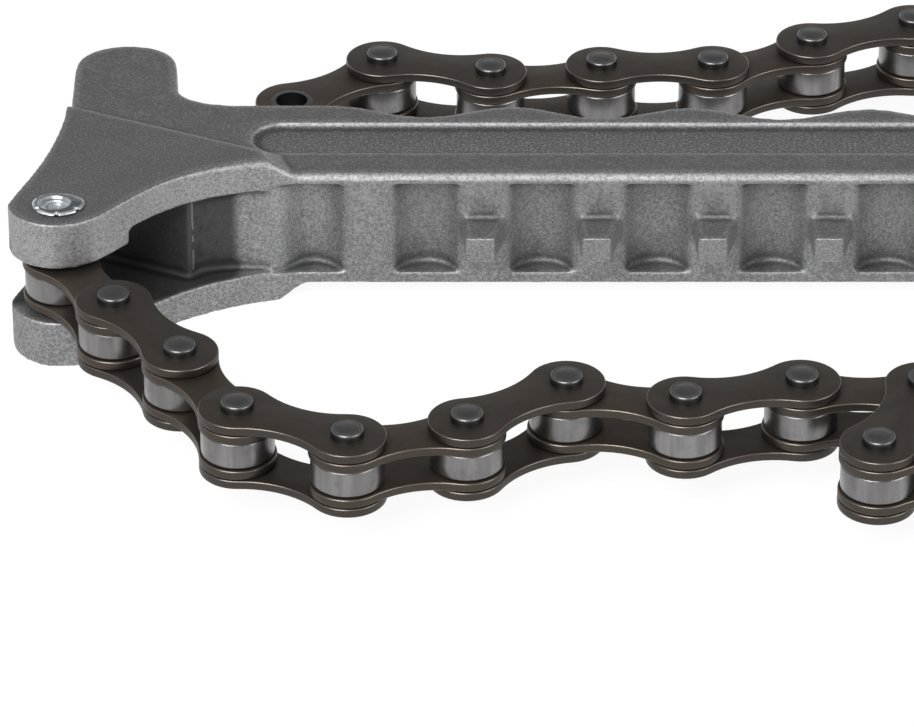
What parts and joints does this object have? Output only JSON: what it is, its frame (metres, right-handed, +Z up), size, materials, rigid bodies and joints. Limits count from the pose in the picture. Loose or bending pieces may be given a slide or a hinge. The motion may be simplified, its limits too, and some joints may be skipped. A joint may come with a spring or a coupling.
{
  "type": "chain filter wrench",
  "caption": "Cast handle with a clevis head, gripping horn and a row of hooking pegs, and a long roller chain that wraps a filter and turns it.",
  "frame": {"origin": "under the middle of the whole wrench's box, on the surface it lies on", "axes": "+X along the handle from the chain's clevis to the hang hole, +Z up out of the side it lies on"},
  "size_m": [0.2118, 0.0972, 0.0188],
  "materials": {
    "cast_metal": "as-cast, speckled, worn bright on its rounded edges",
    "zinc": "bright zinc plate",
    "outer_plate_steel": "dark brown oiled steel, satin edges",
    "inner_plate_steel": "brown oiled steel",
    "roller_steel": "satin, bright upper rim"
  },
  "bodies": {
    "casting": {"handle_casting": "cast_metal", "clevis_rivet": "zinc"},
    "link_01": {"inner_link_01": "inner_plate_steel"},
    "link_02": {"outer_link_02": "outer_plate_steel"},
    "link_03": {"inner_link_03": "inner_plate_steel"},
    "link_04": {"outer_link_04": "outer_plate_steel"},
    "link_05": {"inner_link_05": "inner_plate_steel"},
    "link_06": {"outer_link_06": "outer_plate_steel"},
    "link_07": {"inner_link_07": "inner_plate_steel"},
    "link_08": {"outer_link_08": "outer_plate_steel"},
    "link_09": {"inner_link_09": "inner_plate_steel"},
    "link_10": {"outer_link_10": "outer_plate_steel"},
    "link_11": {"inner_link_11": "inner_plate_steel"},
    "link_12": {"outer_link_12": "outer_plate_steel"},
    "link_13": {"inner_link_13": "inner_plate_steel"},
    "link_14": {"outer_link_14": "outer_plate_steel"},
    "link_15": {"inner_link_15": "inner_plate_steel"},
    "link_16": {"outer_link_16": "outer_plate_steel"},
    "link_17": {"inner_link_17": "inner_plate_steel"},
    "link_18": {"outer_link_18": "outer_plate_steel"},
    "link_19": {"inner_link_19": "inner_plate_steel"},
    "link_20": {"outer_link_20": "outer_plate_steel"},
    "link_21": {"inner_link_21": "inner_plate_steel"},
    "link_22": {"outer_link_22": "outer_plate_steel"},
    "link_23": {"inner_link_23": "inner_plate_steel"},
    "link_24": {"outer_link_24": "outer_plate_steel"},
    "link_25": {"inner_link_25": "inner_plate_steel"},
    "link_26": {"outer_link_26": "outer_plate_steel"},
    "link_27": {"inner_link_27": "inner_plate_steel"},
    "link_28": {"outer_link_28": "outer_plate_steel"},
    "link_29": {"inner_link_29": "inner_plate_steel"},
    "link_30": {"outer_link_30": "outer_plate_steel"},
    "link_31": {"inner_link_31": "inner_plate_steel"},
    "link_32": {"outer_link_32": "outer_plate_steel"},
    "link_33": {"inner_link_33": "inner_plate_steel"},
    "link_34": {"outer_link_34": "outer_plate_steel"},
    "link_35": {"inner_link_35": "inner_plate_steel"},
    "link_36": {"outer_link_36": "outer_plate_steel"},
    "link_37": {"inner_link_37": "inner_plate_steel"},
    "roller_01a": {"roller_01a": "roller_steel"},
    "roller_01b": {"roller_01b": "roller_steel"},
    "roller_03a": {"roller_03a": "roller_steel"},
    "roller_03b": {"roller_03b": "roller_steel"},
    "roller_05a": {"roller_05a": "roller_steel"},
    "roller_05b": {"roller_05b": "roller_steel"},
    "roller_07a": {"roller_07a": "roller_steel"},
    "roller_07b": {"roller_07b": "roller_steel"},
    "roller_09a": {"roller_09a": "roller_steel"},
    "roller_09b": {"roller_09b": "roller_steel"},
    "roller_11a": {"roller_11a": "roller_steel"},
    "roller_11b": {"roller_11b": "roller_steel"},
    "roller_33a": {"roller_33a": "roller_steel"},
    "roller_33b": {"roller_33b": "roller_steel"},
    "roller_35a": {"roller_35a": "roller_steel"},
    "roller_35b": {"roller_35b": "roller_steel"},
    "roller_37a": {"roller_37a": "roller_steel"},
    "roller_37b": {"roller_37b": "roller_steel"}
  },
  "joints": [
    {"name": "pivot_01", "type": "hinge", "parent": "casting", "child": "link_01", "pos_m": [-0.10039, -0.00552, 0.00885], "axis": [0, 0, 1], "range_deg": [-4, 9]},
    {"name": "pivot_02", "type": "hinge", "parent": "link_01", "child": "link_02", "pos_m": [-0.09404, -0.01652, 0.00885], "axis": [0, 0, -1], "range_deg": [-9, 4]},
    {"name": "pivot_03", "type": "hinge", "parent": "link_02", "child": "link_03", "pos_m": [-0.08657, -0.02679, 0.00885], "axis": [0, 0, 1], "range_deg": [-5, 8]},
    {"name": "pivot_04", "type": "hinge", "parent": "link_03", "child": "link_04", "pos_m": [-0.08022, -0.03779, 0.00885], "axis": [0, 0, -1], "range_deg": [-7, 5]},
    {"name": "pivot_05", "type": "hinge", "parent": "link_04", "child": "link_05", "pos_m": [-0.06871, -0.04316, 0.00885], "axis": [0, 0, 1], "range_deg": [-6, 6]},
    {"name": "pivot_06", "type": "hinge", "parent": "link_05", "child": "link_06", "pos_m": [-0.05639, -0.04009, 0.00885], "axis": [0, 0, -1], "range_deg": [-6, 6]},
    {"name": "pivot_07", "type": "hinge", "parent": "link_06", "child": "link_07", "pos_m": [-0.04599, -0.0328, 0.00885], "axis": [0, 0, 1], "range_deg": [-7, 5]},
    {"name": "pivot_08", "type": "hinge", "parent": "link_07", "child": "link_08", "pos_m": [-0.03366, -0.03587, 0.00885], "axis": [0, 0, -1], "range_deg": [-4, 8]},
    {"name": "pivot_09", "type": "hinge", "parent": "link_08", "child": "link_09", "pos_m": [-0.0214, -0.03259, 0.00885], "axis": [0, 0, 1], "range_deg": [-9, 3]},
    {"name": "pivot_10", "type": "hinge", "parent": "link_09", "child": "link_10", "pos_m": [-0.0087, -0.03303, 0.00885], "axis": [0, 0, -1], "range_deg": [-2, 9]},
    {"name": "pivot_11", "type": "hinge", "parent": "link_10", "child": "link_11", "pos_m": [-0.01407, -0.04454, 0.00885], "axis": [0, 0, 1], "range_deg": [-10, 2]},
    {"name": "pivot_12", "type": "hinge", "parent": "link_11", "child": "link_12", "pos_m": [-0.00147, -0.04299, 0.00885], "axis": [0, 0, -1], "range_deg": [-2, 12]},
    {"name": "pivot_13", "type": "hinge", "parent": "link_12", "child": "link_13", "pos_m": [0.01114, -0.04145, 0.00885], "axis": [0, 0, 1], "range_deg": [-16, 2]},
    {"name": "pivot_14", "type": "hinge", "parent": "link_13", "child": "link_14", "pos_m": [0.02374, -0.0399, 0.00885], "axis": [0, 0, -1], "range_deg": [-1, 25]},
    {"name": "pivot_15", "type": "hinge", "parent": "link_14", "child": "link_15", "pos_m": [0.03635, -0.03835, 0.00885], "axis": [0, 0, 1], "range_deg": [-50, 1]},
    {"name": "pivot_16", "type": "hinge", "parent": "link_15", "child": "link_16", "pos_m": [0.04895, -0.0368, 0.00885], "axis": [0, 0, -1], "range_deg": [-1, 50]},
    {"name": "pivot_17", "type": "hinge", "parent": "link_16", "child": "link_17", "pos_m": [0.06156, -0.03525, 0.00885], "axis": [0, 0, 1], "range_deg": [-50, 1]},
    {"name": "pivot_18", "type": "hinge", "parent": "link_17", "child": "link_18", "pos_m": [0.07417, -0.03371, 0.00885], "axis": [0, 0, -1], "range_deg": [-1, 50]},
    {"name": "pivot_19", "type": "hinge", "parent": "link_18", "child": "link_19", "pos_m": [0.08559, -0.02815, 0.00885], "axis": [0, 0, 1], "range_deg": [-50, 1]},
    {"name": "pivot_20", "type": "hinge", "parent": "link_19", "child": "link_20", "pos_m": [0.09459, -0.01919, 0.00885], "axis": [0, 0, -1], "range_deg": [-1, 50]},
    {"name": "pivot_21", "type": "hinge", "parent": "link_20", "child": "link_21", "pos_m": [0.1002, -0.0078, 0.00885], "axis": [0, 0, 1], "range_deg": [-50, 1]},
    {"name": "pivot_22", "type": "hinge", "parent": "link_21", "child": "link_22", "pos_m": [0.1018, 0.0048, 0.00885], "axis": [0, 0, -1], "range_deg": [-1, 50]},
    {"name": "pivot_23", "type": "hinge", "parent": "link_22", "child": "link_23", "pos_m": [0.09923, 0.01724, 0.00885], "axis": [0, 0, 1], "range_deg": [-50, 1]},
    {"name": "pivot_24", "type": "hinge", "parent": "link_23", "child": "link_24", "pos_m": [0.09277, 0.02817, 0.00885], "axis": [0, 0, -1], "range_deg": [-1, 50]},
    {"name": "pivot_25", "type": "hinge", "parent": "link_24", "child": "link_25", "pos_m": [0.08311, 0.03641, 0.00885], "axis": [0, 0, 1], "range_deg": [-50, 1]},
    {"name": "pivot_26", "type": "hinge", "parent": "link_25", "child": "link_26", "pos_m": [0.07129, 0.04107, 0.00885], "axis": [0, 0, -1], "range_deg": [-1, 50]},
    {"name": "pivot_27", "type": "hinge", "parent": "link_26", "child": "link_27", "pos_m": [0.05861, 0.04165, 0.00885], "axis": [0, 0, 1], "range_deg": [-50, 1]},
    {"name": "pivot_28", "type": "hinge", "parent": "link_27", "child": "link_28", "pos_m": [0.04592, 0.04222, 0.00885], "axis": [0, 0, -1], "range_deg": [-1, 50]},
    {"name": "pivot_29", "type": "hinge", "parent": "link_28", "child": "link_29", "pos_m": [0.03323, 0.0428, 0.00885], "axis": [0, 0, 1], "range_deg": [-50, 1]},
    {"name": "pivot_30", "type": "hinge", "parent": "link_29", "child": "link_30", "pos_m": [0.02055, 0.04338, 0.00885], "axis": [0, 0, -1], "range_deg": [-2, 50]},
    {"name": "pivot_31", "type": "hinge", "parent": "link_30", "child": "link_31", "pos_m": [0.00786, 0.04395, 0.00885], "axis": [0, 0, 1], "range_deg": [-50, 2]},
    {"name": "pivot_32", "type": "hinge", "parent": "link_31", "child": "link_32", "pos_m": [-0.00483, 0.04453, 0.00885], "axis": [0, 0, -1], "range_deg": [-2, 50]},
    {"name": "pivot_33", "type": "hinge", "parent": "link_32", "child": "link_33", "pos_m": [-0.01676, 0.04019, 0.00885], "axis": [0, 0, 1], "range_deg": [-50, 3]},
    {"name": "pivot_34", "type": "hinge", "parent": "link_33", "child": "link_34", "pos_m": [-0.02827, 0.03482, 0.00885], "axis": [0, 0, -1], "range_deg": [-4, 50]},
    {"name": "pivot_35", "type": "hinge", "parent": "link_34", "child": "link_35", "pos_m": [-0.04097, 0.0346, 0.00885], "axis": [0, 0, 1], "range_deg": [-50, 5]},
    {"name": "pivot_36", "type": "hinge", "parent": "link_35", "child": "link_36", "pos_m": [-0.05358, 0.03305, 0.00885], "axis": [0, 0, -1], "range_deg": [-9, 50]},
    {"name": "pivot_37", "type": "hinge", "parent": "link_36", "child": "link_37", "pos_m": [-0.06595, 0.03591, 0.00885], "axis": [0, 0, 1], "range_deg": [-50, 24]},
    {"name": "roller_01a_spin", "type": "hinge", "parent": "link_01", "child": "roller_01a", "pos_m": [-0.10039, -0.00552, 0.00885], "axis": [0, 0, 1], "continuous": true},
    {"name": "roller_01b_spin", "type": "hinge", "parent": "link_01", "child": "roller_01b", "pos_m": [-0.09404, -0.01652, 0.00885], "axis": [0, 0, 1], "continuous": true},
    {"name": "roller_03a_spin", "type": "hinge", "parent": "link_03", "child": "roller_03a", "pos_m": [-0.08657, -0.02679, 0.00885], "axis": [0, 0, 1], "continuous": true},
    {"name": "roller_03b_spin", "type": "hinge", "parent": "link_03", "child": "roller_03b", "pos_m": [-0.08022, -0.03779, 0.00885], "axis": [0, 0, 1], "continuous": true},
    {"name": "roller_05a_spin", "type": "hinge", "parent": "link_05", "child": "roller_05a", "pos_m": [-0.06871, -0.04316, 0.00885], "axis": [0, 0, 1], "continuous": true},
    {"name": "roller_05b_spin", "type": "hinge", "parent": "link_05", "child": "roller_05b", "pos_m": [-0.05639, -0.04009, 0.00885], "axis": [0, 0, 1], "continuous": true},
    {"name": "roller_07a_spin", "type": "hinge", "parent": "link_07", "child": "roller_07a", "pos_m": [-0.04599, -0.0328, 0.00885], "axis": [0, 0, 1], "continuous": true},
    {"name": "roller_07b_spin", "type": "hinge", "parent": "link_07", "child": "roller_07b", "pos_m": [-0.03366, -0.03587, 0.00885], "axis": [0, 0, 1], "continuous": true},
    {"name": "roller_09a_spin", "type": "hinge", "parent": "link_09", "child": "roller_09a", "pos_m": [-0.0214, -0.03259, 0.00885], "axis": [0, 0, 1], "continuous": true},
    {"name": "roller_09b_spin", "type": "hinge", "parent": "link_09", "child": "roller_09b", "pos_m": [-0.0087, -0.03303, 0.00885], "axis": [0, 0, 1], "continuous": true},
    {"name": "roller_11a_spin", "type": "hinge", "parent": "link_11", "child": "roller_11a", "pos_m": [-0.01407, -0.04454, 0.00885], "axis": [0, 0, 1], "continuous": true},
    {"name": "roller_11b_spin", "type": "hinge", "parent": "link_11", "child": "roller_11b", "pos_m": [-0.00147, -0.04299, 0.00885], "axis": [0, 0, 1], "continuous": true},
    {"name": "roller_33a_spin", "type": "hinge", "parent": "link_33", "child": "roller_33a", "pos_m": [-0.01676, 0.04019, 0.00885], "axis": [0, 0, 1], "continuous": true},
    {"name": "roller_33b_spin", "type": "hinge", "parent": "link_33", "child": "roller_33b", "pos_m": [-0.02827, 0.03482, 0.00885], "axis": [0, 0, 1], "continuous": true},
    {"name": "roller_35a_spin", "type": "hinge", "parent": "link_35", "child": "roller_35a", "pos_m": [-0.04097, 0.0346, 0.00885], "axis": [0, 0, 1], "continuous": true},
    {"name": "roller_35b_spin", "type": "hinge", "parent": "link_35", "child": "roller_35b", "pos_m": [-0.05358, 0.03305, 0.00885], "axis": [0, 0, 1], "continuous": true},
    {"name": "roller_37a_spin", "type": "hinge", "parent": "link_37", "child": "roller_37a", "pos_m": [-0.06595, 0.03591, 0.00885], "axis": [0, 0, 1], "continuous": true},
    {"name": "roller_37b_spin", "type": "hinge", "parent": "link_37", "child": "roller_37b", "pos_m": [-0.07609, 0.02826, 0.00885], "axis": [0, 0, 1], "continuous": true}
  ]
}
